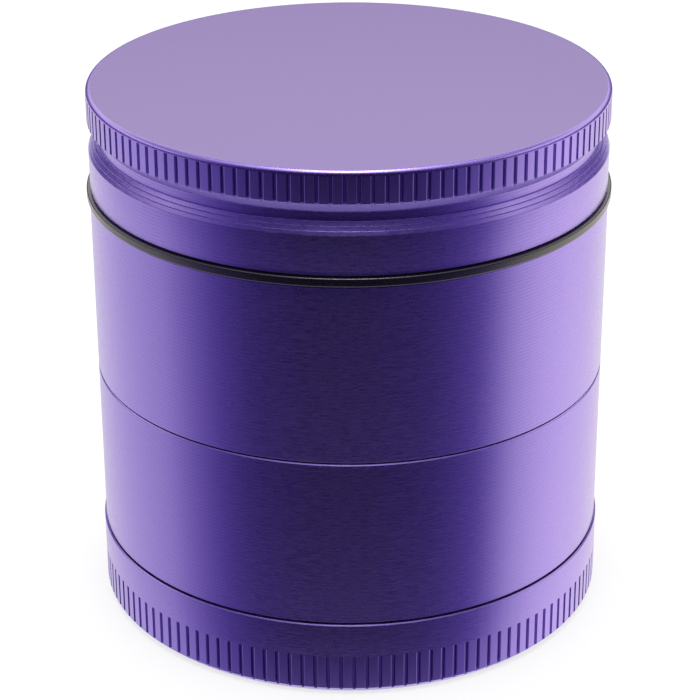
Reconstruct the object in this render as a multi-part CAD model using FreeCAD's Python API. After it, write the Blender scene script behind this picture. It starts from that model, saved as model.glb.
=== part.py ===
import FreeCAD, Part
import math
import os

# Four-part metal herb grinder, turned from aluminium and stacked on one vertical axis: a lid with teeth,
# a grinding chamber with teeth, a collection chamber with a sifting screen, and a pollen tray.
# Millimetres, +Z up. The origin is the centre of the tray's underside, and -Y is the front.
# The screwed joints are plain spigots in plain sockets, with room between them for the thread form.

# Driving dimensions: the outside
BODY_RADIUS = 35.0          # wall of both middle pieces
TRAY_RADIUS = 35.25
LID_RADIUS = 34.95          # over the knurl
SKIRT_RADIUS = 34.9
NECK_RADIUS = 33.5
RING_RADIUS = 35.4          # the black ring stands proud of the walls
TRAY_HEIGHT = 10.7          # underside to the seam
COLLECTOR_HEIGHT = 23.6     # seam to seam
CHAMBER_HEIGHT = 24.7       # seam to the rim under the ring
RING_HEIGHT = 1.2
LID_HEIGHT = 13.8           # skirt's lower edge to the top face
SKIRT_HEIGHT = 5.4
NECK_HEIGHT = 2.7
RIM_BEVEL = 1.45            # slope from the neck out to the knurl
LID_EDGE_RADIUS = 0.6
NECK_FILLET = 0.9
SEAM_BEVEL = 0.35
FOOT_BEVEL = 1.0

# Driving dimensions: the knurls
KNURL_COUNT = 128
KNURL_DEPTH = 0.35
KNURL_MOUTH = 0.5           # groove width at the surface
KNURL_FLOOR = 0.28          # groove width at the bottom
LID_KNURL_TURN = -0.85      # degrees from the front to a groove
TRAY_KNURL_TURN = 0.75
TRAY_KNURL_TOP = 6.2

# Driving dimensions: the inside
LID_PLATE = 7.0             # thickness of the lid's top
CHAMBER_FLOOR = 3.5         # thickness of the toothed floor
CAVITY_HEIGHT = 14.5        # toothed floor to the lid's ceiling
COLLAR_RADIUS = 31.7        # the lid's collar, which stands inside the chamber's rim
COLLAR_BORE = 29.5
COLLAR_DEPTH = 6.0
RIM_BORE = 32.0
RING_ROOM = 0.2             # between the black ring and the collar
CHAMBER_BORE = 29.6         # below the toothed floor
SPIGOT_RADIUS = 31.3        # root of the male threads
SOCKET_RADIUS = 32.5        # root of the female threads
CHAMBER_SPIGOT = 6.5
TRAY_SPIGOT = 5.5
SOCKET_ROOM = 0.5           # past each spigot's end
SPIGOT_BEVEL = 0.5
LEDGE_RADIUS = 28.0         # opening under the screen
LEDGE_THICKNESS = 2.3
SCREEN_BORE = 30.0          # wall above the screen
SCREEN_RADIUS = 29.7
SCREEN_THICKNESS = 0.4
SNAP_INNER = 28.4
SNAP_OUTER = 30.4
SNAP_GROOVE = 30.6
SNAP_THICKNESS = 1.0
SNAP_ROOM = 0.1
SNAP_GAP = 16.0             # degrees left open at the back
BOWL_RADIUS = 29.3
BOWL_FLOOR = 3.0
BOWL_FILLET = 9.0
SMALL_BEVEL = 0.25
INNER_FILLET = 1.0

# Driving dimensions: teeth, drop holes and magnets
TOOTH_LENGTH = 6.0          # round the ring
TOOTH_WIDTH = 3.4           # across the ring
TOOTH_CLEARANCE = 1.2       # tip to the face opposite
TOOTH_BEVEL = 0.8
TOOTH_TAPER = 0.92          # size just under the bevel, against the root
TOOTH_TIP = 0.6             # size of the tip, against that
TOOTH_SINK = 0.5            # how far a root runs into its plate
FIRST_RING = 9.4            # radius of the innermost ring of teeth
RING_STEP = 4.1             # from each ring to the next, lid and chamber in turn
LID_TOOTH_COUNTS = (4, 8, 12)
CHAMBER_TOOTH_COUNTS = (6, 10)
HOLE_RADIUS = 2.2
HOLE_COUNTS = (6, 12)       # in the tracks of the lid's second and third rings
BOSS_RADIUS = 6.5
MAGNET_RADIUS = 5.0
MAGNET_HEIGHT = 4.0
MAGNET_ROOM = 0.05
MAGNET_GAP = 1.0            # between the two bosses

# Derived heights, from the ground up
LOWER_SEAM = TRAY_HEIGHT
UPPER_SEAM = LOWER_SEAM + COLLECTOR_HEIGHT
CHAMBER_RIM = UPPER_SEAM + CHAMBER_HEIGHT
SKIRT_FOOT = CHAMBER_RIM + RING_HEIGHT
SKIRT_TOP = SKIRT_FOOT + SKIRT_HEIGHT
NECK_TOP = SKIRT_TOP + NECK_HEIGHT
TOP = SKIRT_FOOT + LID_HEIGHT
CEILING = TOP - LID_PLATE
TOOTHED_FLOOR = CEILING - CAVITY_HEIGHT
FLOOR_UNDERSIDE = TOOTHED_FLOOR - CHAMBER_FLOOR
BOSS_MIDDLE = (CEILING + TOOTHED_FLOOR) / 2
LID_BOSS_FACE = BOSS_MIDDLE + MAGNET_GAP / 2
CHAMBER_BOSS_FACE = BOSS_MIDDLE - MAGNET_GAP / 2
UPPER_SOCKET_END = UPPER_SEAM - CHAMBER_SPIGOT - SOCKET_ROOM
LOWER_SOCKET_END = LOWER_SEAM + TRAY_SPIGOT + SOCKET_ROOM
SCREEN_SEAT = LOWER_SOCKET_END + LEDGE_THICKNESS
SNAP_SEAT = SCREEN_SEAT + SCREEN_THICKNESS
POCKET_RADIUS = MAGNET_RADIUS + MAGNET_ROOM
RING_BORE = COLLAR_RADIUS + RING_ROOM
OVERCUT = 2.0               # how far cutting tools run past what they cut

ORIGIN = FreeCAD.Vector(0, 0, 0)
UP = FreeCAD.Vector(0, 0, 1)
FRONT = -90.0               # degrees from +X to the front


def tooth_rings(first, counts):
    """(ring radius, tooth count) for every second ring, starting from ring number first."""
    return [(FIRST_RING + (first + 2 * i) * RING_STEP, count) for i, count in enumerate(counts)]


LID_RINGS = tooth_rings(0, LID_TOOTH_COUNTS)
CHAMBER_RINGS = tooth_rings(1, CHAMBER_TOOTH_COUNTS)
HOLE_RINGS = [(radius, count) for (radius, _), count in zip(LID_RINGS[1:], HOLE_COUNTS)]


def rounded_outline(corners):
    """A closed wire in the XZ plane through (radius, height, rounding) corners."""
    points = [FreeCAD.Vector(r, 0, z) for r, z, _ in corners]
    starts, arcs, ends = [], [], []
    for i, corner in enumerate(points):
        back = (points[i - 1] - corner).normalize()
        ahead = (points[(i + 1) % len(points)] - corner).normalize()
        rounding = corners[i][2]
        half_angle = back.getAngle(ahead) / 2
        reach = rounding / math.tan(half_angle)
        starts.append(corner + back * reach)
        ends.append(corner + ahead * reach)
        middle = None
        if rounding > 0:
            inward = (back + ahead).normalize()
            middle = corner + inward * (rounding / math.sin(half_angle) - rounding)
        arcs.append(middle)
    edges = []
    for i, middle in enumerate(arcs):
        if middle:
            edges.append(Part.Arc(starts[i], middle, ends[i]).toShape())
        following = starts[(i + 1) % len(starts)]
        edges.append(Part.LineSegment(ends[i], following).toShape())
    return Part.Wire(edges)


def turned(corners, degrees=360.0):
    """A solid of revolution about the vertical axis."""
    return Part.Face(rounded_outline(corners)).revolve(ORIGIN, UP, degrees)


def around(shape, count, first_angle):
    """Copies of a shape, evenly spaced about the vertical axis."""
    copies = []
    for i in range(count):
        copy = shape.copy()
        copy.rotate(ORIGIN, UP, first_angle + i * 360.0 / count)
        copies.append(copy)
    return copies


def knurl_groove(radius, low, high):
    """The cutter for one upright groove, on the +X side, with flanks that open outwards."""
    depth = KNURL_DEPTH + OVERCUT
    flare = (KNURL_MOUTH - KNURL_FLOOR) / 2 / KNURL_DEPTH
    inner, outer = radius - KNURL_DEPTH, radius + OVERCUT
    half_floor = KNURL_FLOOR / 2
    half_mouth = half_floor + flare * depth
    section = [(inner, -half_floor), (outer, -half_mouth), (outer, half_mouth), (inner, half_floor)]
    corners = [FreeCAD.Vector(x, y, low) for x, y in section]
    face = Part.Face(Part.makePolygon(corners + corners[:1]))
    return face.extrude(UP * (high - low))


def diamond(ring_radius, height, size):
    """The outline of a tooth on the +X side, with its long way round the ring."""
    half_width = size * TOOTH_WIDTH / 2
    half_length = size * TOOTH_LENGTH / 2
    section = [(half_width, 0), (0, half_length), (-half_width, 0), (0, -half_length)]
    corners = [FreeCAD.Vector(ring_radius + x, y, height) for x, y in section]
    return Part.makePolygon(corners + corners[:1])


def teeth(rings, root, tip, turn):
    """Rings of tapering diamond teeth, each with a gap between teeth at the angle turn."""
    towards_tip = math.copysign(1, tip - root)
    result = []
    for radius, count in rings:
        outlines = [
            diamond(radius, root - towards_tip * TOOTH_SINK, 1),
            diamond(radius, tip - towards_tip * TOOTH_BEVEL, TOOTH_TAPER),
            diamond(radius, tip, TOOTH_TAPER * TOOTH_TIP),
        ]
        tooth = Part.makeLoft(outlines, True, True)
        result += around(tooth, count, turn + 180.0 / count)
    return result


def lid():
    """Knurled rim, neck, skirt and collar in one turned piece, with rings of teeth and a magnet boss."""
    pocket_end = LID_BOSS_FACE + MAGNET_HEIGHT + MAGNET_ROOM
    collar_foot = SKIRT_FOOT - COLLAR_DEPTH
    body = turned([
        (0, TOP, 0),
        (LID_RADIUS, TOP, LID_EDGE_RADIUS),
        (LID_RADIUS, NECK_TOP + RIM_BEVEL, 0),
        (NECK_RADIUS, NECK_TOP, 0),
        (NECK_RADIUS, SKIRT_TOP, NECK_FILLET),
        (SKIRT_RADIUS - SMALL_BEVEL, SKIRT_TOP, 0),
        (SKIRT_RADIUS, SKIRT_TOP - SMALL_BEVEL, 0),
        (SKIRT_RADIUS, SKIRT_FOOT + SMALL_BEVEL, 0),
        (SKIRT_RADIUS - SMALL_BEVEL, SKIRT_FOOT, 0),
        (COLLAR_RADIUS, SKIRT_FOOT, 0),
        (COLLAR_RADIUS, collar_foot + SPIGOT_BEVEL, 0),
        (COLLAR_RADIUS - SPIGOT_BEVEL, collar_foot, 0),
        (COLLAR_BORE, collar_foot, 0),
        (COLLAR_BORE, CEILING, INNER_FILLET),
        (BOSS_RADIUS, CEILING, INNER_FILLET),
        (BOSS_RADIUS, LID_BOSS_FACE, SMALL_BEVEL),
        (POCKET_RADIUS, LID_BOSS_FACE, 0),
        (POCKET_RADIUS, pocket_end, 0),
        (0, pocket_end, 0),
    ])
    groove = knurl_groove(LID_RADIUS, NECK_TOP - SMALL_BEVEL, TOP - LID_EDGE_RADIUS)
    body = body.cut(around(groove, KNURL_COUNT, FRONT + LID_KNURL_TURN))
    tip = TOOTHED_FLOOR + TOOTH_CLEARANCE
    return body.fuse(teeth(LID_RINGS, CEILING, tip, 0.0))


def lid_magnet():
    """Disc magnet, flush with the lid's boss."""
    return disc_magnet(LID_BOSS_FACE)


def chamber_magnet():
    """Disc magnet, flush with the chamber's boss."""
    return disc_magnet(CHAMBER_BOSS_FACE - MAGNET_HEIGHT)


def disc_magnet(low):
    """A round magnet with bevelled edges, standing on the given height."""
    high = low + MAGNET_HEIGHT
    edge = MAGNET_RADIUS - SMALL_BEVEL
    return turned([
        (0, low, 0),
        (edge, low, 0),
        (MAGNET_RADIUS, low + SMALL_BEVEL, 0),
        (MAGNET_RADIUS, high - SMALL_BEVEL, 0),
        (edge, high, 0),
        (0, high, 0),
    ])


def glide_ring():
    """Polymer ring that the lid turns on, between the skirt and the chamber's rim."""
    return turned([
        (RING_BORE, CHAMBER_RIM, 0),
        (RING_RADIUS - SMALL_BEVEL, CHAMBER_RIM, 0),
        (RING_RADIUS, CHAMBER_RIM + SMALL_BEVEL, 0),
        (RING_RADIUS, SKIRT_FOOT - SMALL_BEVEL, 0),
        (RING_RADIUS - SMALL_BEVEL, SKIRT_FOOT, 0),
        (RING_BORE, SKIRT_FOOT, 0),
    ])


def grinding_chamber():
    """Wall, toothed floor with drop holes, magnet boss and male thread spigot in one piece."""
    pocket_end = CHAMBER_BOSS_FACE - MAGNET_HEIGHT - MAGNET_ROOM
    spigot_foot = UPPER_SEAM - CHAMBER_SPIGOT
    body = turned([
        (0, pocket_end, 0),
        (POCKET_RADIUS, pocket_end, 0),
        (POCKET_RADIUS, CHAMBER_BOSS_FACE, 0),
        (BOSS_RADIUS, CHAMBER_BOSS_FACE, SMALL_BEVEL),
        (BOSS_RADIUS, TOOTHED_FLOOR, INNER_FILLET),
        (RIM_BORE, TOOTHED_FLOOR, INNER_FILLET),
        (RIM_BORE, CHAMBER_RIM, 0),
        (BODY_RADIUS - SMALL_BEVEL, CHAMBER_RIM, 0),
        (BODY_RADIUS, CHAMBER_RIM - SMALL_BEVEL, 0),
        (BODY_RADIUS, UPPER_SEAM + SEAM_BEVEL, 0),
        (BODY_RADIUS - SEAM_BEVEL, UPPER_SEAM, 0),
        (SPIGOT_RADIUS, UPPER_SEAM, 0),
        (SPIGOT_RADIUS, spigot_foot + SPIGOT_BEVEL, 0),
        (SPIGOT_RADIUS - SPIGOT_BEVEL, spigot_foot, 0),
        (CHAMBER_BORE, spigot_foot, 0),
        (CHAMBER_BORE, FLOOR_UNDERSIDE, INNER_FILLET),
        (0, FLOOR_UNDERSIDE, 0),
    ])
    body = body.fuse(teeth(CHAMBER_RINGS, TOOTHED_FLOOR, CEILING - TOOTH_CLEARANCE, 0.0))
    return body.cut(drop_holes())


def drop_holes():
    """Cutters for the holes that the ground herb falls through, in the tracks of the lid's teeth."""
    low = FLOOR_UNDERSIDE - OVERCUT
    depth = CHAMBER_FLOOR + 2 * OVERCUT
    cutters = []
    for radius, count in HOLE_RINGS:
        hole = Part.makeCylinder(HOLE_RADIUS, depth, FreeCAD.Vector(radius, 0, low), UP)
        cutters += around(hole, count, 0.0)
    return cutters


def collection_chamber():
    """Open wall with a female thread socket at each end, and the ledge and groove that hold the screen."""
    groove_top = SNAP_SEAT + SNAP_THICKNESS + SNAP_ROOM
    return turned([
        (SOCKET_RADIUS, LOWER_SEAM, 0),
        (BODY_RADIUS - SEAM_BEVEL, LOWER_SEAM, 0),
        (BODY_RADIUS, LOWER_SEAM + SEAM_BEVEL, 0),
        (BODY_RADIUS, UPPER_SEAM - SEAM_BEVEL, 0),
        (BODY_RADIUS - SEAM_BEVEL, UPPER_SEAM, 0),
        (SOCKET_RADIUS, UPPER_SEAM, 0),
        (SOCKET_RADIUS, UPPER_SOCKET_END, 0),
        (SCREEN_BORE, UPPER_SOCKET_END, SMALL_BEVEL),
        (SCREEN_BORE, groove_top, 0),
        (SNAP_GROOVE, groove_top, 0),
        (SNAP_GROOVE, SNAP_SEAT, 0),
        (SCREEN_BORE, SNAP_SEAT, 0),
        (SCREEN_BORE, SCREEN_SEAT, 0),
        (LEDGE_RADIUS, SCREEN_SEAT, SMALL_BEVEL),
        (LEDGE_RADIUS, LOWER_SOCKET_END, SMALL_BEVEL),
        (SOCKET_RADIUS, LOWER_SOCKET_END, 0),
    ])


def sifting_screen():
    """Disc of fine woven wire, lying on the collection chamber's ledge."""
    return Part.makeCylinder(SCREEN_RADIUS, SCREEN_THICKNESS, FreeCAD.Vector(0, 0, SCREEN_SEAT), UP)


def screen_snap_ring():
    """Split spring ring, sprung into the groove over the screen's edge, with its gap at the back."""
    ring = turned([
        (SNAP_INNER, SNAP_SEAT, 0),
        (SNAP_OUTER, SNAP_SEAT, 0),
        (SNAP_OUTER, SNAP_SEAT + SNAP_THICKNESS, 0),
        (SNAP_INNER, SNAP_SEAT + SNAP_THICKNESS, 0),
    ], 360.0 - SNAP_GAP)
    ring.rotate(ORIGIN, UP, FRONT + 180.0 + SNAP_GAP / 2)
    return ring


def pollen_tray():
    """Screw-on base: knurled foot, male thread spigot and a round-cornered bowl."""
    spigot_top = LOWER_SEAM + TRAY_SPIGOT
    body = turned([
        (0, 0, 0),
        (TRAY_RADIUS - FOOT_BEVEL, 0, 0),
        (TRAY_RADIUS, FOOT_BEVEL, 0),
        (TRAY_RADIUS, LOWER_SEAM - SEAM_BEVEL, 0),
        (TRAY_RADIUS - SEAM_BEVEL, LOWER_SEAM, 0),
        (SPIGOT_RADIUS, LOWER_SEAM, 0),
        (SPIGOT_RADIUS, spigot_top - SPIGOT_BEVEL, 0),
        (SPIGOT_RADIUS - SPIGOT_BEVEL, spigot_top, 0),
        (BOWL_RADIUS, spigot_top, SMALL_BEVEL),
        (BOWL_RADIUS, BOWL_FLOOR, BOWL_FILLET),
        (0, BOWL_FLOOR, 0),
    ])
    groove = knurl_groove(TRAY_RADIUS, -OVERCUT, TRAY_KNURL_TOP)
    return body.cut(around(groove, KNURL_COUNT, FRONT + TRAY_KNURL_TURN))


PIECES = (
    lid,
    lid_magnet,
    glide_ring,
    grinding_chamber,
    chamber_magnet,
    collection_chamber,
    sifting_screen,
    screen_snap_ring,
    pollen_tray,
)

os.makedirs("parts", exist_ok=True)
for piece in PIECES:
    shape = piece()
    solid_count = len(shape.Solids)
    if solid_count != 1 or not shape.isValid():
        raise ValueError(f"{piece.__name__}: {solid_count} solids, valid {shape.isValid()}")
    shape.Solids[0].exportStep(f"parts/{piece.__name__}.step")
    print(f"{piece.__name__}: {shape.Volume / 1000:.2f} cm3, {len(shape.Faces)} faces")
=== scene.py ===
import math

import bmesh
import bpy
import numpy as np
from mathutils import Matrix, Vector


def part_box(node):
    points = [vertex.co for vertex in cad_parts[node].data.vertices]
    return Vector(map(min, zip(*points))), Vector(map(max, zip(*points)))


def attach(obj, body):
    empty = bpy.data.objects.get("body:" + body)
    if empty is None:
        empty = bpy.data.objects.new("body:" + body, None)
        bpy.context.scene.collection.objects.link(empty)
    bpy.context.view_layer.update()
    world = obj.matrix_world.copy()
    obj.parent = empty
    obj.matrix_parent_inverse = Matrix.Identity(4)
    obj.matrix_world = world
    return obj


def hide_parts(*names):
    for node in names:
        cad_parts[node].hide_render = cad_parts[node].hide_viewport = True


# Four-part herb grinder in purple anodised aluminium, on a white studio floor. Metres, +Z up, front at -Y.

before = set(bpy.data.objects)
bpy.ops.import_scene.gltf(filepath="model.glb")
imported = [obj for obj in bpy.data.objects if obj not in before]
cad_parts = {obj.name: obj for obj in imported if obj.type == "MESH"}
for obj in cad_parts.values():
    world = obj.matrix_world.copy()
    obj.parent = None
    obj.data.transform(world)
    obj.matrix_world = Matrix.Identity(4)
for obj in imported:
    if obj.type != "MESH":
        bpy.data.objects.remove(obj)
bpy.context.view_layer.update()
MM = 0.001

# Levels and radii read from the frame
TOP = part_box("lid")[1].z
SKIRT_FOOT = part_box("glide_ring")[1].z
CHAMBER_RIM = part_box("glide_ring")[0].z
UPPER_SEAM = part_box("collection_chamber")[1].z
LOWER_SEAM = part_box("collection_chamber")[0].z
CHAMBER_SPIGOT_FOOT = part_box("grinding_chamber")[0].z
TRAY_SPIGOT_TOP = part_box("pollen_tray")[1].z
SCREEN_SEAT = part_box("sifting_screen")[0].z
SCREEN_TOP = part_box("sifting_screen")[1].z
BODY_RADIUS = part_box("collection_chamber")[1].x
RING_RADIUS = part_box("glide_ring")[1].x
LID_MAGNET_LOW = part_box("lid_magnet")[0].z
CHAMBER_MAGNET_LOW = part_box("chamber_magnet")[0].z
MAGNET_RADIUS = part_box("lid_magnet")[1].x
MAGNET_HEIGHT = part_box("lid_magnet")[1].z - LID_MAGNET_LOW

# Sizes of the solids that the frame's boxes don't give
TRAY_RADIUS = 35.25 * MM
LID_RADIUS = 34.95 * MM
SKIRT_RADIUS = 34.9 * MM
NECK_RADIUS = 33.5 * MM
SKIRT_TOP = SKIRT_FOOT + 5.4 * MM
NECK_TOP = SKIRT_TOP + 2.7 * MM
RIM_BEVEL = 1.45 * MM
LID_EDGE = 0.6 * MM
SHOULDER_HEIGHT = 1.5 * MM      # of the fine steps between the neck and the skirt
SHOULDER_STEPS = 3
SHOULDER_LEDGE = 0.2 * MM
SEAM_BEVEL = 0.15 * MM
SEAM_GAP = 0.3 * MM             # height of the dark line above each seam
SEAM_RELIEF = 1.0 * MM          # how far that line goes in
FOOT_BEVEL = 1.0 * MM
SMALL_BEVEL = 0.25 * MM
SPIGOT_BEVEL = 0.5 * MM
INNER_FILLET = 1.0 * MM
NECK_FILLET = 0.2 * MM
SKIRT_EDGE = 0.12 * MM
EASED_EDGE = 0.1 * MM
CHAMFER_EDGE = 0.08 * MM
CRISP_EDGE = 0.05 * MM
CEILING = TOP - 7.0 * MM
TOOTHED_FLOOR = CEILING - 14.5 * MM
FLOOR_UNDERSIDE = TOOTHED_FLOOR - 3.5 * MM
COLLAR_DEPTH = 6.0 * MM
COLLAR_RADIUS = 31.7 * MM
COLLAR_BORE = 29.5 * MM
RIM_BORE = 32.0 * MM
RING_BORE = 31.9 * MM
CHAMBER_BORE = 29.6 * MM
SPIGOT_RADIUS = 31.3 * MM
SOCKET_RADIUS = 32.5 * MM
SOCKET_ROOM = 0.5 * MM
LEDGE_RADIUS = 28.0 * MM
SCREEN_BORE = 30.0 * MM
SNAP_GROOVE = 30.6 * MM
SNAP_GROOVE_HEIGHT = 1.1 * MM
BOWL_RADIUS = 29.3 * MM
BOWL_FLOOR = 3.0 * MM
BOWL_FILLET = 9.0 * MM
BOSS_RADIUS = 6.5 * MM
POCKET_RADIUS = 5.05 * MM
POCKET_ROOM = 0.05 * MM

# Knurls
KNURL_COUNT = 128
KNURL_DEPTH = 0.35 * MM
KNURL_MOUTH = 0.5 * MM
KNURL_FLOOR = 0.28 * MM
KNURL_EDGE = 0.05 * MM          # soft edge of a land, beside the groove
KNURL_STEP = 0.06 * MM          # height over which a groove ends
LID_KNURL_TURN = -0.85          # degrees from the front
TRAY_KNURL_TURN = 0.75
TRAY_KNURL_TOP = 5.9 * MM

# Teeth and drop holes
TOOTH_LENGTH = 6.0 * MM
TOOTH_WIDTH = 3.4 * MM
TOOTH_CLEARANCE = 1.2 * MM
TOOTH_BEVEL = 0.8 * MM
TOOTH_SINK = 0.5 * MM
TOOTH_TAPER = 0.92
TOOTH_TIP = 0.6
LID_RINGS = ((9.4 * MM, 4), (17.6 * MM, 8), (25.8 * MM, 12))
CHAMBER_RINGS = ((13.5 * MM, 6), (21.7 * MM, 10))
HOLE_RINGS = ((17.6 * MM, 6), (25.8 * MM, 12))
HOLE_RADIUS = 2.2 * MM
HOLE_SIDES = 48
DRILL_OVERRUN = 1.0 * MM        # past each side of the floor

# Thread form, made here on the plain spigots and sockets
THREAD_PITCH = 2.0 * MM
THREAD_DEPTH = 1.0 * MM
THREAD_ROOT = 1.1 * MM          # width of a ridge at its root
THREAD_CREST = 0.5 * MM
THREAD_STEPS = 120              # a turn
THREAD_RUN_OUT = 40             # steps over which a ridge fades at each end
THREAD_LEAST = 0.02             # share of the depth that is left at the ends
THREAD_SINK = 0.1               # share of the depth by which a ridge's root is in the wall
THREAD_MARGIN = 1.0 * MM        # between a ridge's ends and those of its spigot

# Mesh fineness
EVEN_STEPS = 384
ARC_STEPS = 12
FINE_ARC_STEPS = 3              # on roundings smaller than the next value
FINE_ROUNDING = 0.13 * MM
ON_AXIS = 1e-9                  # a point with a smaller radius is on the axis
SHARP_ANGLE = math.radians(9)
FRONT = math.radians(-90)

# Finishes
PURPLE = (0.28, 0.2, 0.60)
MATTE_PURPLE = (0.262, 0.204, 0.43)
EDGE_TINT = (0.96, 0.94, 0.98, 1)
OXIDE_COAT = {"Coat_Weight": 0.15, "Coat_Roughness": 0.25, "Coat_IOR": 1.6}
QUARTER_TURN = 0.25             # of the direction in which highlights stretch
LINES_PER_MM = 2.1              # turned lines
LINE_HEIGHT = 0.003 * MM        # of the turned lines, in a finish whose lines are black
LINE_WANDER = 1.5               # radians by which noise moves the lines
DASHES_PER_MM = 0.8
DASH_STRETCH = 7.0              # how much longer a dash is than it is tall
GRAINS_PER_MM = 4.0
PATTERN_RANGE = (0.3, 0.7)      # where most of a pattern's values lie
ANODISED_SPREAD = 0.04          # of the roughness, to each side
NICKEL = (0.66, 0.62, 0.56)
SPRING_STEEL = (0.42, 0.42, 0.44)
METAL_SPREAD = 0.06
METAL_SHADE = 0.85              # of the darkest grain
METAL_GRAINS_PER_MM = 3.0
METAL_GRAIN_DETAIL = 4.0
METAL_GRAIN_HEIGHT = 0.004 * MM
POLYMER_COLOURS = ((0.001, 0.001, 0.0014), (0.003, 0.003, 0.004))
POLYMER_TINT = (0.92, 0.88, 1.0, 1)
POLYMER_REFLECTION = 0.85
POLYMER_ROUGHNESS = (0.2, 0.34)
POLYMER_GRAINS_PER_MM = 6.0
POLYMER_GRAIN_DETAIL = 3.0
POLYMER_GRAIN_HEIGHT = 0.006 * MM
WIRES_PER_MM = 5.0
WIRE_HEIGHT = 0.06 * MM
# Painted shade in the gaps between the wires, then the wires' own steel colour
WIRE_AND_GAP_SHADE_COLOURS = ((0.05, 0.05, 0.052), (0.6, 0.6, 0.61))
WIRE_ROUGHNESS = (0.5, 0.3)

# Camera, fitted to the photo's ellipses
CAMERA_PLACE = (0, -298.9 * MM, 174.6 * MM)
CAMERA_PITCH = 25.19            # degrees below the horizon
CAMERA_ROLL = -0.2
CAMERA_LENS = 121.15
CAMERA_SENSOR = 36.0
CAMERA_SHIFT_X = 0.0005

# Brightness round the studio, by degrees from the front, right positive
AROUND = (
    (-180, 1.0),
    (-134, 1.14),
    (-109, 1.07),
    (-89, 0.97),
    (-72, 0.62),
    (-58, 0.385),
    (-44, 0.18),
    (-18, 0.066),
    (8, 0.066),
    (33, 0.145),
    (47, 0.28),
    (61, 0.48),
    (76, 1.03),
    (93, 1.3),
    (113, 1.38),
    (142, 1.24),
    (180, 1.0),
)
# How much of that brightness there is, by the sine of the height above the horizon
SHARE_BY_HEIGHT = (
    (-1.0, 1.0),
    (-0.2, 1.0),
    (-0.05, 0.3),
    (0.2, 0.3),
    (0.33, 1.45),
    (0.45, 1.45),
    (0.6, 0.9),
    (0.75, 0.4),
    (1.0, 0.4),
)
# Least brightness by the sine of the height above the horizon
LEAST_BY_HEIGHT = (
    (-1.0, 1.0),
    (-0.8, 0.95),
    (-0.66, 0.12),
    (-0.4, 0.0),
    (0.45, 0.0),
    (0.7, 0.3),
    (0.84, 1.1),
    (0.97, 1.1),
    (1.0, 0.6),
)
# Colour of the studio by its brightness: a violet room, and a white tent that is warm where it is brightest
BRIGHTEST = 1.4
STUDIO_TINTS = (
    (0.0, (0.0, 0.0, 0.0)),
    (0.11, (0.042, 0.024, 0.105)),
    (0.42, (0.21, 0.145, 0.42)),
    (0.8, (0.66, 0.57, 0.8)),
    (1.0, (1.0, 0.98, 1.0)),
    (BRIGHTEST, (1.85, 1.78, 1.5)),
)
FLOOR_SIZE = 4.0
FLOOR_COLOURS = ((0.97, 0.97, 0.97), (1, 1, 1))
FLOOR_MOTTLES_PER_MM = 0.05
FLOOR_WHITE = 0.7               # how much of the floor's shadow the white backdrop hides
SOFTBOX_PLACE = (0, -10 * MM, 600 * MM)
SOFTBOX_SIZE = (180 * MM, 420 * MM)
SOFTBOX_POWER = 1.9


# Mesh building

def outline_points(corners):
    """Points along a closed outline, each a radius, a height and the finish from there to the next point.

    A corner is a radius, a height, a rounding and a finish.
    """
    places = [np.array(corner[:2]) for corner in corners]
    points = []
    for i, (_, _, rounding, finish) in enumerate(corners):
        corner = places[i]
        if rounding == 0:
            points.append((*corner, finish))
            continue
        back = places[i - 1] - corner
        ahead = places[(i + 1) % len(places)] - corner
        back /= np.linalg.norm(back)
        ahead /= np.linalg.norm(ahead)
        half = math.acos(np.clip(back @ ahead, -1, 1)) / 2
        inward = (back + ahead) / np.linalg.norm(back + ahead)
        centre = corner + inward * rounding / math.sin(half)
        start = corner + back * rounding / math.tan(half) - centre
        end = corner + ahead * rounding / math.tan(half) - centre
        sweep = math.pi - 2 * half
        steps = FINE_ARC_STEPS if rounding < FINE_ROUNDING else ARC_STEPS
        for step in range(steps + 1):
            share = step / steps
            reach = math.sin((1 - share) * sweep) * start + math.sin(share * sweep) * end
            points.append((*(centre + reach / math.sin(sweep)), finish))
    return points


def even_angles():
    """Evenly spaced angles, with no groove at any of them."""
    angles = np.arange(EVEN_STEPS) * 2 * math.pi / EVEN_STEPS
    return angles, np.zeros(EVEN_STEPS)


def knurl_angles(radius, turn):
    """Angles that follow every groove's flanks, and how deep the groove is at each."""
    steps = (
        (-KNURL_MOUTH / 2 - KNURL_EDGE, 0),
        (-KNURL_MOUTH / 2, KNURL_EDGE / 2),
        (-KNURL_FLOOR / 2, KNURL_DEPTH),
        (KNURL_FLOOR / 2, KNURL_DEPTH),
        (KNURL_MOUTH / 2, KNURL_EDGE / 2),
        (KNURL_MOUTH / 2 + KNURL_EDGE, 0),
        (math.pi * radius / KNURL_COUNT, 0),
    )
    angles, depths = [], []
    for groove in range(KNURL_COUNT):
        middle = FRONT + math.radians(turn) + groove * 2 * math.pi / KNURL_COUNT
        for offset, depth in steps:
            angles.append(middle + offset / radius)
            depths.append(depth)
    return np.array(angles), np.array(depths)


def lathe(mesh, corners, finishes, angles, knurl=None):
    """Adds a solid of revolution to a bmesh. knurl is (radius, low, high) of the band that has grooves."""
    turns, depths = angles
    points = outline_points(corners)
    rows = []
    for r, z, _ in points:
        if r < ON_AXIS:
            rows.append([mesh.verts.new((0, 0, z))] * len(turns))
            continue
        radii = np.full(len(turns), r)
        if knurl and knurl[1] <= z <= knurl[2]:
            radii = np.minimum(radii, knurl[0] - depths)
        ring = zip(radii * np.cos(turns), radii * np.sin(turns))
        rows.append([mesh.verts.new((x, y, z)) for x, y in ring])
    for i, (r, _, finish) in enumerate(points):
        near, far = rows[i], rows[(i + 1) % len(rows)]
        if r < ON_AXIS and points[(i + 1) % len(points)][0] < ON_AXIS:
            continue
        for j in range(len(turns)):
            k = (j + 1) % len(turns)
            corners_used = dict.fromkeys((near[j], far[j], far[k], near[k]))
            face = mesh.faces.new(list(corners_used))
            face.material_index = finishes.index(finish)


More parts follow.
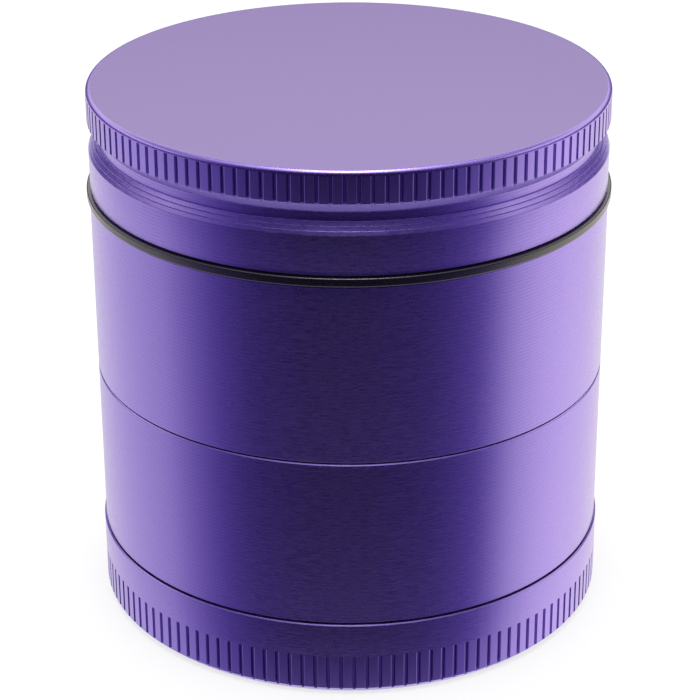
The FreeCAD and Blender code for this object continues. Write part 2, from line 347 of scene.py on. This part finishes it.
def add_teeth(mesh, rings, root, tip, finish_index):
    """Adds rings of tapering diamond teeth, with a gap between teeth on the +X side."""
    towards = math.copysign(1, tip - root)
    levels = (
        (root - towards * TOOTH_SINK, 1),
        (tip - towards * TOOTH_BEVEL, TOOTH_TAPER),
        (tip, TOOTH_TAPER * TOOTH_TIP),
    )
    for radius, count in rings:
        for tooth in range(count):
            turn = Matrix.Rotation((tooth + 0.5) * 2 * math.pi / count, 3, "Z")
            rows = []
            for z, size in levels:
                half_width, half_length = size * TOOTH_WIDTH / 2, size * TOOTH_LENGTH / 2
                section = ((half_width, 0), (0, half_length), (-half_width, 0), (0, -half_length))
                spots = [turn @ Vector((radius + x, y, z)) for x, y in section]
                rows.append([mesh.verts.new(spot) for spot in spots])
            faces = [mesh.faces.new(rows[0]), mesh.faces.new(rows[-1])]
            for low, high in zip(rows, rows[1:]):
                for j in range(len(low)):
                    faces.append(mesh.faces.new((low[j], low[j - 1], high[j - 1], high[j])))
            for face in faces:
                face.material_index = finish_index


def add_thread(mesh, radius, outward, low, high, finish_index):
    """Adds one right-hand helical ridge to a spigot (outward 1) or a socket (outward -1)."""
    turns = (high - low) / THREAD_PITCH
    steps = int(turns * THREAD_STEPS)
    rows = []
    for step in range(steps + 1):
        angle = 2 * math.pi * step / THREAD_STEPS
        fade = min(1, step / THREAD_RUN_OUT, (steps - step) / THREAD_RUN_OUT)
        crest = radius + outward * THREAD_DEPTH * max(fade, THREAD_LEAST)
        root = radius - outward * THREAD_DEPTH * THREAD_SINK
        z = low + THREAD_PITCH * step / THREAD_STEPS
        section = (
            (root, z - THREAD_ROOT / 2),
            (crest, z - THREAD_CREST / 2),
            (crest, z + THREAD_CREST / 2),
            (root, z + THREAD_ROOT / 2),
        )
        c, s = math.cos(angle), math.sin(angle)
        rows.append([mesh.verts.new((r * c, r * s, height)) for r, height in section])
    faces = [mesh.faces.new(rows[0]), mesh.faces.new(rows[-1])]
    for near, far in zip(rows, rows[1:]):
        for j in range(len(near)):
            faces.append(mesh.faces.new((near[j], near[j - 1], far[j - 1], far[j])))
    for face in faces:
        face.material_index = finish_index


def new_piece(name, mesh, materials):
    """Turns a bmesh into a smooth-shaded object with sharp edges kept."""
    bmesh.ops.recalc_face_normals(mesh, faces=mesh.faces)
    data = bpy.data.meshes.new(name)
    mesh.to_mesh(data)
    mesh.free()
    for material in materials:
        data.materials.append(material)
    data.polygons.foreach_set("use_smooth", [True] * len(data.polygons))
    data.set_sharp_from_angle(angle=SHARP_ANGLE)
    piece = bpy.data.objects.new(name, data)
    bpy.context.scene.collection.objects.link(piece)
    return piece


def stands_for(piece, node, body):
    """Puts a piece on the given body and hides the CAD node that it stands for."""
    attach(piece, body)
    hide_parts(node)


# Materials

class Shader:
    """A new material with one Principled shader, and short ways to add and link nodes."""

    def __init__(self, name, **sockets):
        self.material = bpy.data.materials.new(name)
        self.material.use_nodes = True
        self.tree = self.material.node_tree
        self.surface = self.tree.nodes["Principled BSDF"]
        for socket, value in sockets.items():
            self.surface.inputs[socket.replace("_", " ")].default_value = value

    def add(self, kind, settings=None, **sockets):
        """A node with settings on it, and numbers or other nodes' outputs on its sockets."""
        node = self.tree.nodes.new(kind)
        for key, value in (settings or {}).items():
            setattr(node, key, value)
        for socket, value in sockets.items():
            label = socket[1:]
            key = int(label) if label.isdigit() else socket.replace("_", " ")
            self.put(node.inputs[key], value)
        return node

    def put(self, target, value):
        """Links an output to a socket, or sets the socket to a number."""
        if isinstance(value, bpy.types.NodeSocket):
            self.tree.links.new(value, target)
        else:
            target.default_value = value

    def to_surface(self, socket, value):
        """Links an output to one of the Principled shader's sockets."""
        self.put(self.surface.inputs[socket], value)

    def math(self, operation, a, b=0.0):
        """The result of one Math node."""
        return self.add("ShaderNodeMath", {"operation": operation}, _0=a, _1=b).outputs[0]

    def place(self):
        """The piece's own coordinates, in millimetres, as one vector output."""
        coordinates = self.add("ShaderNodeTexCoord").outputs["Object"]
        scaled = self.add("ShaderNodeVectorMath", {"operation": "SCALE"}, _0=coordinates, Scale=1 / MM)
        return scaled.outputs[0]

    def noise(self, vector, scale, detail=2.0):
        """Noise between 0 and 1 over a place, with features 1 / scale millimetres wide."""
        return self.add("ShaderNodeTexNoise", None, Vector=vector, Scale=scale, Detail=detail).outputs[0]

    def lines(self, distance, per_mm, wander):
        """Waves between 0 and 1 along a distance in millimetres, with their phase moved by a wander."""
        phase = self.math("ADD", self.math("MULTIPLY", distance, 2 * math.pi * per_mm), wander)
        return self.math("ADD", self.math("MULTIPLY", self.math("SINE", phase), 0.5), 0.5)

    def spread(self, value, low, high):
        """A pattern's values, in their usual range, spread over low to high."""
        least, most = PATTERN_RANGE
        limits = {"From_Min": least, "From_Max": most, "To_Min": low, "To_Max": high}
        return self.add("ShaderNodeMapRange", None, Value=value, **limits).outputs[0]

    def vary(self, value, middle, reach):
        """A pattern's values, spread by a reach to each side of a middle value."""
        return self.spread(value, middle - reach, middle + reach)

    def bump(self, height, distance, normal=None):
        """A bump node's normal, for a height between 0 and 1 that is a distance in metres tall."""
        node = self.add("ShaderNodeBump", None, Distance=distance, Height=height)
        if normal:
            self.put(node.inputs["Normal"], normal)
        return node.outputs[0]

    def tint(self, amount, dark, light):
        """A colour between two colours, chosen by an amount from 0 to 1."""
        node = self.add("ShaderNodeMix", {"data_type": "RGBA"}, Factor=amount)
        node.inputs["A"].default_value = (*dark, 1)
        node.inputs["B"].default_value = (*light, 1)
        return node.outputs["Result"]


def anodised(name, base, roughness, anisotropy, across, line_shade, grain_height, metallic=1.0):
    """Dyed anodised aluminium with turned lines across one direction: z on walls, radius on faces."""
    shader = Shader(
        name,
        Metallic=metallic,
        Anisotropic=anisotropy,
        Anisotropic_Rotation=QUARTER_TURN,
        Specular_Tint=EDGE_TINT,
        **OXIDE_COAT,
    )
    place = shader.place()
    parts = shader.add("ShaderNodeSeparateXYZ", None, Vector=place).outputs
    if across == "z":
        distance = parts[2]
    else:
        flat = shader.add("ShaderNodeCombineXYZ", None, X=parts[0], Y=parts[1]).outputs[0]
        distance = shader.add("ShaderNodeVectorMath", {"operation": "LENGTH"}, _0=flat).outputs["Value"]
    tall = shader.math("MULTIPLY", parts[2], DASH_STRETCH)
    stretched = shader.add("ShaderNodeCombineXYZ", None, X=parts[0], Y=parts[1], Z=tall).outputs[0]
    dashes = shader.noise(stretched, DASHES_PER_MM)
    wander = shader.math("MULTIPLY", dashes, LINE_WANDER)
    lines = shader.lines(distance, LINES_PER_MM, wander)
    pattern = shader.math("MULTIPLY", shader.math("ADD", lines, dashes), 0.5)
    grain = dashes if anisotropy else shader.noise(place, GRAINS_PER_MM)
    dark = tuple(channel * line_shade for channel in base)
    shader.to_surface("Base Color", shader.tint(shader.spread(pattern, 0, 1), dark, base))
    shader.to_surface("Roughness", shader.vary(grain, roughness, ANODISED_SPREAD))
    lined = shader.bump(pattern, (1 - line_shade) * LINE_HEIGHT)
    shader.to_surface("Normal", shader.bump(grain, grain_height, lined))
    if anisotropy:
        tangent = shader.add("ShaderNodeTangent", {"direction_type": "RADIAL", "axis": "Z"})
        shader.to_surface("Tangent", tangent.outputs[0])
    return shader.material


def black_polymer():
    """Semi-gloss moulded polymer with a faint grain."""
    shader = Shader("black_polymer", Specular_IOR_Level=POLYMER_REFLECTION, Specular_Tint=POLYMER_TINT)
    grain = shader.noise(shader.place(), POLYMER_GRAINS_PER_MM, POLYMER_GRAIN_DETAIL)
    shader.to_surface("Base Color", shader.tint(grain, *POLYMER_COLOURS))
    shader.to_surface("Roughness", shader.spread(grain, *POLYMER_ROUGHNESS))
    shader.to_surface("Normal", shader.bump(grain, POLYMER_GRAIN_HEIGHT))
    return shader.material


def plain_metal(name, colour, roughness):
    """Bare metal with a fine grain in its colour, roughness and surface."""
    shader = Shader(name, Metallic=1.0)
    grain = shader.noise(shader.place(), METAL_GRAINS_PER_MM, METAL_GRAIN_DETAIL)
    darker = tuple(channel * METAL_SHADE for channel in colour)
    shader.to_surface("Base Color", shader.tint(grain, darker, colour))
    shader.to_surface("Roughness", shader.vary(grain, roughness, METAL_SPREAD))
    shader.to_surface("Normal", shader.bump(grain, METAL_GRAIN_HEIGHT))
    return shader.material


def woven_steel():
    """Fine wire cloth: two sets of wires that cross, with painted shade in the gaps between them."""
    shader = Shader("woven_steel", Metallic=1.0)
    parts = shader.add("ShaderNodeSeparateXYZ", None, Vector=shader.place()).outputs
    phase_x = shader.math("MULTIPLY", parts[0], math.pi * WIRES_PER_MM)
    phase_y = shader.math("MULTIPLY", parts[1], math.pi * WIRES_PER_MM)
    along_x = shader.math("ABSOLUTE", shader.math("SINE", phase_y))
    along_y = shader.math("ABSOLUTE", shader.math("SINE", phase_x))
    height = shader.math("MAXIMUM", along_x, along_y)
    # Painted shade: the colour darkens to near black where the wires are low, in the gaps between them
    shader.to_surface("Base Color", shader.tint(height, *WIRE_AND_GAP_SHADE_COLOURS))
    shader.to_surface("Roughness", shader.spread(height, *WIRE_ROUGHNESS))
    shader.to_surface("Normal", shader.bump(height, WIRE_HEIGHT))
    return shader.material


# An anodised finish has a name, colour, roughness, stretch of its highlights, direction that its lines
# cross, shade of its lines and height of its grain. The bevel's has a share of metal too.
FINISHES = {
    "wall": anodised("anodised_wall", PURPLE, 0.28, 0.7, "z", 0.9, 0.004 * MM),
    "top": anodised("anodised_top", MATTE_PURPLE, 0.5, 0.0, "radius", 1.0, 0.003 * MM),
    "edge": anodised("anodised_edge", PURPLE, 0.28, 0.0, "z", 1.0, 0.004 * MM),
    "bevel": anodised("anodised_bevel", PURPLE, 0.5, 0.0, "z", 1.0, 0.004 * MM, 0.6),
    "knurl": anodised("anodised_knurl", PURPLE, 0.32, 0.0, "z", 1.0, 0.008 * MM),
    "face": anodised("anodised_face", PURPLE, 0.3, 0.6, "radius", 0.84, 0.001 * MM),
    "inside": anodised("anodised_inside", PURPLE, 0.36, 0.3, "z", 0.84, 0.002 * MM),
    "polymer": black_polymer(),
    "nickel": plain_metal("nickel_plate", NICKEL, 0.22),
    "spring": plain_metal("spring_steel", SPRING_STEEL, 0.32),
    "cloth": woven_steel(),
}
METAL = ("top", "edge", "bevel", "knurl", "wall", "face", "inside")


def metals():
    """The anodised finishes, in the order of their indices on a piece."""
    return [FINISHES[name] for name in METAL]


# Pieces

def shoulder_steps():
    """Corners of the fine steps from the lid's neck out to its skirt, each a ledge and a slope."""
    width = (SKIRT_RADIUS - NECK_RADIUS) / SHOULDER_STEPS
    height = SHOULDER_HEIGHT / SHOULDER_STEPS
    corners = []
    for step in range(SHOULDER_STEPS):
        radius = NECK_RADIUS + step * width
        level = SKIRT_TOP + SHOULDER_HEIGHT - step * height
        corners.append((radius, level, 0, "face"))
        corners.append((radius + SHOULDER_LEDGE, level, CRISP_EDGE, "wall"))
    return corners


def make_lid():
    """Matte top, knurled rim, neck, skirt and collar, with three rings of teeth under the ceiling."""
    boss_face = LID_MAGNET_LOW
    pocket_end = boss_face + MAGNET_HEIGHT + POCKET_ROOM
    collar_foot = SKIRT_FOOT - COLLAR_DEPTH
    knurl_top = TOP - LID_EDGE - KNURL_STEP
    mesh = bmesh.new()
    lathe(mesh, [
        (0, TOP, 0, "top"),
        (LID_RADIUS, TOP, LID_EDGE, "edge"),
        (LID_RADIUS, knurl_top, 0, "knurl"),
        (LID_RADIUS, NECK_TOP + RIM_BEVEL, CHAMFER_EDGE, "bevel"),
        (LID_RADIUS - KNURL_DEPTH, NECK_TOP + RIM_BEVEL - KNURL_DEPTH, 0, "bevel"),
        (NECK_RADIUS, NECK_TOP, NECK_FILLET, "wall"),
        *shoulder_steps(),
        (SKIRT_RADIUS, SKIRT_TOP, SKIRT_EDGE, "wall"),
        (SKIRT_RADIUS, SKIRT_FOOT + SMALL_BEVEL, EASED_EDGE, "wall"),
        (SKIRT_RADIUS - SMALL_BEVEL, SKIRT_FOOT, 0, "face"),
        (COLLAR_RADIUS, SKIRT_FOOT, 0, "wall"),
        (COLLAR_RADIUS, collar_foot + SPIGOT_BEVEL, 0, "wall"),
        (COLLAR_RADIUS - SPIGOT_BEVEL, collar_foot, 0, "face"),
        (COLLAR_BORE, collar_foot, EASED_EDGE, "inside"),
        (COLLAR_BORE, CEILING, INNER_FILLET, "face"),
        (BOSS_RADIUS, CEILING, INNER_FILLET, "inside"),
        (BOSS_RADIUS, boss_face, SMALL_BEVEL, "face"),
        (POCKET_RADIUS, boss_face, 0, "inside"),
        (POCKET_RADIUS, pocket_end, 0, "inside"),
        (0, pocket_end, 0, "inside"),
    ], METAL, knurl_angles(LID_RADIUS, LID_KNURL_TURN), (LID_RADIUS, NECK_TOP, knurl_top))
    add_teeth(mesh, LID_RINGS, CEILING, TOOTHED_FLOOR + TOOTH_CLEARANCE, METAL.index("inside"))
    stands_for(new_piece("lid_turned", mesh, metals()), "lid", "lid")


def make_magnet(name, node, body, low):
    """Nickel-plated disc with softly rounded edges."""
    mesh = bmesh.new()
    high = low + MAGNET_HEIGHT
    lathe(mesh, [
        (0, low, 0, "nickel"),
        (MAGNET_RADIUS, low, SMALL_BEVEL, "nickel"),
        (MAGNET_RADIUS, high, SMALL_BEVEL, "nickel"),
        (0, high, 0, "nickel"),
    ], ("nickel",), even_angles())
    stands_for(new_piece(name, mesh, [FINISHES["nickel"]]), node, body)


def make_glide_ring():
    """Flat black ring, proud of the walls, with eased edges."""
    mesh = bmesh.new()
    lathe(mesh, [
        (RING_BORE, CHAMBER_RIM, 0, "polymer"),
        (RING_RADIUS, CHAMBER_RIM, SMALL_BEVEL, "polymer"),
        (RING_RADIUS, SKIRT_FOOT, SMALL_BEVEL, "polymer"),
        (RING_BORE, SKIRT_FOOT, 0, "polymer"),
    ], ("polymer",), even_angles())
    piece = new_piece("glide_ring_moulded", mesh, [FINISHES["polymer"]])
    stands_for(piece, "glide_ring", "ring")


def drill(body, rings, low, high):
    """The mesh of a piece with upright holes cut through it, as a bmesh."""
    drills = bmesh.new()
    for radius, count in rings:
        for hole in range(count):
            turn = Matrix.Rotation(hole * 2 * math.pi / count, 4, "Z")
            spot = turn @ Matrix.Translation((radius, 0, (low + high) / 2))
            bmesh.ops.create_cone(
                drills,
                cap_ends=True,
                segments=HOLE_SIDES,
                radius1=HOLE_RADIUS,
                radius2=HOLE_RADIUS,
                depth=high - low,
                matrix=spot,
            )
    for face in drills.faces:
        face.material_index = METAL.index("inside")
    cutter = new_piece("drop_hole_drills", drills, metals())
    cut = body.modifiers.new("drop_holes", "BOOLEAN")
    cut.operation = "DIFFERENCE"
    cut.solver = "EXACT"
    cut.object = cutter
    graph = bpy.context.evaluated_depsgraph_get()
    drilled = bmesh.new()
    drilled.from_object(body, graph)
    for used in (body, cutter):
        bpy.data.objects.remove(used)
    return drilled


def make_chamber():
    """Wall, toothed floor with drop holes, magnet boss and threaded spigot."""
    boss_face = CHAMBER_MAGNET_LOW + MAGNET_HEIGHT
    pocket_end = CHAMBER_MAGNET_LOW - POCKET_ROOM
    mesh = bmesh.new()
    lathe(mesh, [
        (0, pocket_end, 0, "inside"),
        (POCKET_RADIUS, pocket_end, 0, "inside"),
        (POCKET_RADIUS, boss_face, 0, "face"),
        (BOSS_RADIUS, boss_face, SMALL_BEVEL, "inside"),
        (BOSS_RADIUS, TOOTHED_FLOOR, INNER_FILLET, "face"),
        (RIM_BORE, TOOTHED_FLOOR, INNER_FILLET, "inside"),
        (RIM_BORE, CHAMBER_RIM, EASED_EDGE, "face"),
        (BODY_RADIUS, CHAMBER_RIM, SMALL_BEVEL, "wall"),
        (BODY_RADIUS, UPPER_SEAM + SEAM_GAP, CRISP_EDGE, "face"),
        (BODY_RADIUS - SEAM_RELIEF, UPPER_SEAM + SEAM_GAP, 0, "face"),
        (BODY_RADIUS - SEAM_RELIEF, UPPER_SEAM, 0, "face"),
        (SPIGOT_RADIUS, UPPER_SEAM, 0, "wall"),
        (SPIGOT_RADIUS, CHAMBER_SPIGOT_FOOT + SPIGOT_BEVEL, 0, "wall"),
        (SPIGOT_RADIUS - SPIGOT_BEVEL, CHAMBER_SPIGOT_FOOT, 0, "face"),
        (CHAMBER_BORE, CHAMBER_SPIGOT_FOOT, EASED_EDGE, "inside"),
        (CHAMBER_BORE, FLOOR_UNDERSIDE, INNER_FILLET, "face"),
        (0, FLOOR_UNDERSIDE, 0, "face"),
    ], METAL, even_angles())
    turned = new_piece("grinding_chamber_turned", mesh, metals())
    mesh = drill(turned, HOLE_RINGS, FLOOR_UNDERSIDE - DRILL_OVERRUN, TOOTHED_FLOOR + DRILL_OVERRUN)
    inside = METAL.index("inside")
    add_teeth(mesh, CHAMBER_RINGS, TOOTHED_FLOOR, CEILING - TOOTH_CLEARANCE, inside)
    thread_foot, thread_top = CHAMBER_SPIGOT_FOOT + THREAD_MARGIN, UPPER_SEAM - THREAD_MARGIN
    add_thread(mesh, SPIGOT_RADIUS, 1, thread_foot, thread_top, METAL.index("wall"))
    piece = new_piece("grinding_chamber_cut", mesh, metals())
    stands_for(piece, "grinding_chamber", "chamber")


def make_collector():
    """Open wall with a threaded socket at each end, and the ledge and groove that hold the screen."""
    upper_socket = CHAMBER_SPIGOT_FOOT - SOCKET_ROOM
    lower_socket = TRAY_SPIGOT_TOP + SOCKET_ROOM
    groove_top = SCREEN_TOP + SNAP_GROOVE_HEIGHT
    mesh = bmesh.new()
    lathe(mesh, [
        (SOCKET_RADIUS, LOWER_SEAM, 0, "face"),
        (BODY_RADIUS - SEAM_RELIEF, LOWER_SEAM, 0, "face"),
        (BODY_RADIUS - SEAM_RELIEF, LOWER_SEAM + SEAM_GAP, 0, "face"),
        (BODY_RADIUS, LOWER_SEAM + SEAM_GAP, CRISP_EDGE, "wall"),
        (BODY_RADIUS, UPPER_SEAM - SEAM_BEVEL, CHAMFER_EDGE, "face"),
        (BODY_RADIUS - SEAM_BEVEL, UPPER_SEAM, 0, "face"),
        (SOCKET_RADIUS, UPPER_SEAM, 0, "inside"),
        (SOCKET_RADIUS, upper_socket, 0, "face"),
        (SCREEN_BORE, upper_socket, SMALL_BEVEL, "inside"),
        (SCREEN_BORE, groove_top, 0, "face"),
        (SNAP_GROOVE, groove_top, 0, "inside"),
        (SNAP_GROOVE, SCREEN_TOP, 0, "face"),
        (SCREEN_BORE, SCREEN_TOP, 0, "inside"),
        (SCREEN_BORE, SCREEN_SEAT, 0, "face"),
        (LEDGE_RADIUS, SCREEN_SEAT, SMALL_BEVEL, "inside"),
        (LEDGE_RADIUS, lower_socket, SMALL_BEVEL, "face"),
        (SOCKET_RADIUS, lower_socket, 0, "inside"),
    ], METAL, even_angles())
    inside = METAL.index("inside")
    half = THREAD_PITCH / 2
    for foot, top in ((CHAMBER_SPIGOT_FOOT, UPPER_SEAM), (LOWER_SEAM, TRAY_SPIGOT_TOP)):
        add_thread(mesh, SOCKET_RADIUS, -1, foot + THREAD_MARGIN + half, top - THREAD_MARGIN, inside)
    piece = new_piece("collection_chamber_turned", mesh, metals())
    stands_for(piece, "collection_chamber", "collector")


def make_tray():
    """Knurled foot, threaded spigot and a round-cornered bowl."""
    knurl_top = TRAY_KNURL_TOP - KNURL_STEP
    mesh = bmesh.new()
    lathe(mesh, [
        (0, 0, 0, "face"),
        (TRAY_RADIUS - FOOT_BEVEL, 0, EASED_EDGE, "knurl"),
        (TRAY_RADIUS - KNURL_DEPTH, FOOT_BEVEL - KNURL_DEPTH, 0, "knurl"),
        (TRAY_RADIUS, FOOT_BEVEL, EASED_EDGE, "knurl"),
        (TRAY_RADIUS, knurl_top, 0, "knurl"),
        (TRAY_RADIUS, TRAY_KNURL_TOP, 0, "wall"),
        (TRAY_RADIUS, LOWER_SEAM - SEAM_BEVEL, CHAMFER_EDGE, "face"),
        (TRAY_RADIUS - SEAM_BEVEL, LOWER_SEAM, 0, "face"),
        (SPIGOT_RADIUS, LOWER_SEAM, 0, "wall"),
        (SPIGOT_RADIUS, TRAY_SPIGOT_TOP - SPIGOT_BEVEL, 0, "wall"),
        (SPIGOT_RADIUS - SPIGOT_BEVEL, TRAY_SPIGOT_TOP, 0, "face"),
        (BOWL_RADIUS, TRAY_SPIGOT_TOP, SMALL_BEVEL, "inside"),
        (BOWL_RADIUS, BOWL_FLOOR, BOWL_FILLET, "inside"),
        (0, BOWL_FLOOR, 0, "inside"),
    ], METAL, knurl_angles(TRAY_RADIUS, TRAY_KNURL_TURN), (TRAY_RADIUS, 0, knurl_top))
    thread_foot, thread_top = LOWER_SEAM + THREAD_MARGIN, TRAY_SPIGOT_TOP - THREAD_MARGIN
    add_thread(mesh, SPIGOT_RADIUS, 1, thread_foot, thread_top, METAL.index("wall"))
    stands_for(new_piece("pollen_tray_turned", mesh, metals()), "pollen_tray", "tray")


def dress_node(node, finish):
    """Gives a CAD node that stays in view its finish."""
    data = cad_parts[node].data
    data.materials.clear()
    data.materials.append(FINISHES[finish])


# Studio

def make_floor():
    """White floor that keeps a faint contact shadow and leaves reflections to the studio around it."""
    shader = Shader("studio_floor", Roughness=1.0, Specular_IOR_Level=0.0)
    mottle = shader.noise(shader.place(), FLOOR_MOTTLES_PER_MM)
    shader.to_surface("Base Color", shader.tint(mottle, *FLOOR_COLOURS))
    white = shader.add("ShaderNodeEmission").outputs[0]
    seen = shader.add("ShaderNodeLightPath").outputs["Is Camera Ray"]
    share = shader.math("MULTIPLY", seen, FLOOR_WHITE)
    mixed = shader.add("ShaderNodeMixShader", None, _0=share, _2=white)
    shader.tree.links.new(shader.surface.outputs[0], mixed.inputs[1])
    shader.tree.links.new(mixed.outputs[0], shader.tree.nodes["Material Output"].inputs[0])
    mesh = bmesh.new()
    bmesh.ops.create_grid(mesh, x_segments=1, y_segments=1, size=FLOOR_SIZE)
    floor = new_piece("studio_floor", mesh, [shader.material])
    floor.visible_glossy = False


def set_ramp(ramp, stops):
    """Puts (place, colour) stops on a colour ramp."""
    while len(ramp.elements) < len(stops):
        ramp.elements.new(0.5)
    for element, (place, colour) in zip(ramp.elements, stops):
        element.position = place
        element.color = (*colour, 1)


def greys(levels, span):
    """Ramp stops for (place, brightness) pairs whose places run over a span with 0 in its middle."""
    return [(place / span + 0.5, (brightness,) * 3) for place, brightness in levels]


def make_world():
    """Studio that reflections show: bright at the sides, back and overhead, dark in front and at eye level.

    All other rays see plain white.
    """
    world = bpy.data.worlds.new("studio")
    world.use_nodes = True
    bpy.context.scene.world = world
    tree = world.node_tree
    nodes, links = tree.nodes, tree.links

    def formula(operation, a, b=0.0):
        node = nodes.new("ShaderNodeMath")
        node.operation = operation
        for socket, value in zip(node.inputs, (a, b)):
            if isinstance(value, bpy.types.NodeSocket):
                links.new(value, socket)
            else:
                socket.default_value = value
        return node.outputs[0]

    def ramp(place, stops):
        node = nodes.new("ShaderNodeValToRGB")
        links.new(place, node.inputs[0])
        set_ramp(node.color_ramp, stops)
        return node.outputs[0]

    ways = nodes.new("ShaderNodeSeparateXYZ")
    links.new(nodes.new("ShaderNodeTexCoord").outputs["Generated"], ways.inputs[0])
    x, y, z = ways.outputs
    turn = formula("ARCTAN2", x, formula("MULTIPLY", y, -1.0))
    share = formula("ADD", formula("DIVIDE", turn, 2 * math.pi), 0.5)
    height = formula("ADD", formula("MULTIPLY", z, 0.5), 0.5)
    around = ramp(share, greys(AROUND, 360))
    least = ramp(height, greys(LEAST_BY_HEIGHT, 2))
    raised = ramp(height, greys(SHARE_BY_HEIGHT, 2))
    sides = formula("MULTIPLY", around, raised)
    brightness = formula("DIVIDE", formula("MAXIMUM", sides, least), BRIGHTEST)
    studio = ramp(brightness, [(level / BRIGHTEST, tint) for level, tint in STUDIO_TINTS])

    path = nodes.new("ShaderNodeLightPath").outputs
    seen = nodes.new("ShaderNodeMix")
    seen.data_type = "RGBA"
    links.new(path["Is Glossy Ray"], seen.inputs["Factor"])
    seen.inputs["A"].default_value = (1, 1, 1, 1)
    links.new(studio, seen.inputs["B"])
    background = nodes["Background"]
    links.new(seen.outputs["Result"], background.inputs["Color"])


def make_softbox():
    """Soft lamp overhead, facing down, which the rim's rounded edge reflects at the front."""
    data = bpy.data.lights.new("softbox", "AREA")
    data.shape = "RECTANGLE"
    data.size, data.size_y = SOFTBOX_SIZE
    data.energy = SOFTBOX_POWER
    lamp = bpy.data.objects.new("softbox", data)
    bpy.context.scene.collection.objects.link(lamp)
    lamp.location = SOFTBOX_PLACE


def make_camera():
    """The photo's camera."""
    data = bpy.data.cameras.new("photo_camera")
    data.lens = CAMERA_LENS
    data.sensor_width = CAMERA_SENSOR
    data.shift_x = CAMERA_SHIFT_X
    camera = bpy.data.objects.new("photo_camera", data)
    bpy.context.scene.collection.objects.link(camera)
    tilt = Matrix.Rotation(math.radians(90 - CAMERA_PITCH), 4, "X")
    roll = Matrix.Rotation(math.radians(CAMERA_ROLL), 4, "Z")
    camera.matrix_world = Matrix.Translation(CAMERA_PLACE) @ tilt @ roll
    bpy.context.scene.camera = camera


make_lid()
make_magnet("lid_magnet_disc", "lid_magnet", "lid", LID_MAGNET_LOW)
make_glide_ring()
make_chamber()
make_magnet("chamber_magnet_disc", "chamber_magnet", "chamber_core", CHAMBER_MAGNET_LOW)
make_collector()
make_tray()
dress_node("sifting_screen", "cloth")
dress_node("screen_snap_ring", "spring")
make_floor()
make_world()
make_softbox()
make_camera()
bpy.context.scene.view_settings.view_transform = "Standard"
